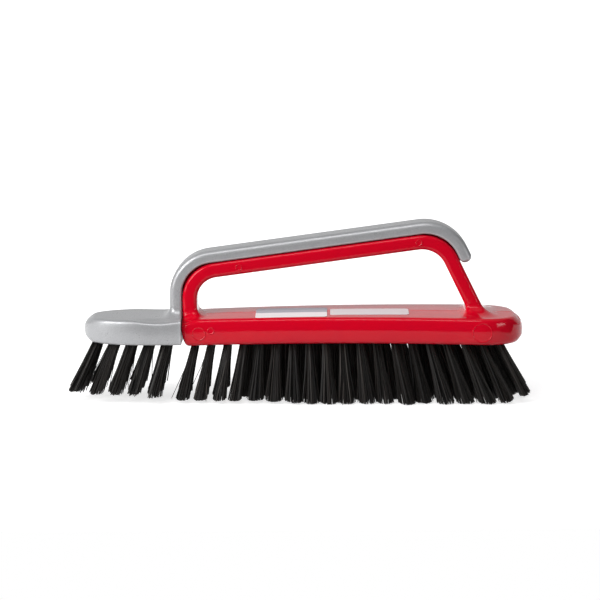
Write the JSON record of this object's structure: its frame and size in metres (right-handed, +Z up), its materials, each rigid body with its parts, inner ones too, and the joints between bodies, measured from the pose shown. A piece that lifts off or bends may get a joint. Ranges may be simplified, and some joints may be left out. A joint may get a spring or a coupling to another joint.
{
  "type": "shoe brush",
  "caption": "Nesting shoe brush: long polishing brush with a sloping loop handle, and a small applicator brush at its toe whose own handle lies over the loop and lifts off.",
  "frame": {"origin": "middle of the outline's underside, on the plane of the bristle tips that the brush stands on", "axes": "+X along the brush from the applicator's nose to the heel, +Y across it towards the back, +Z up"},
  "size_m": [0.2284, 0.0476, 0.0892],
  "materials": {
    "red_plastic": "glossy red moulded plastic with a parting line",
    "silver_plastic": "satin silver-grey moulded plastic with a fine metallic fleck",
    "bristle": "black bristle with a slight sheen",
    "label": "blank white paper label"
  },
  "bodies": {
    "polishing brush": {"polish_body": "red_plastic", "polish_tufts_toe": "bristle", "polish_tufts_middle": "bristle", "polish_tufts_heel": "bristle", "wide_label": "label", "narrow_label": "label"},
    "applicator brush": {"applicator_body": "silver_plastic", "applicator_tufts": "bristle"}
  },
  "joints": [
    {"name": "applicator_lift", "type": "slide", "parent": "polishing brush", "child": "applicator brush", "axis": [0, 0, 1], "range_m": [0, 0.06]}
  ]
}
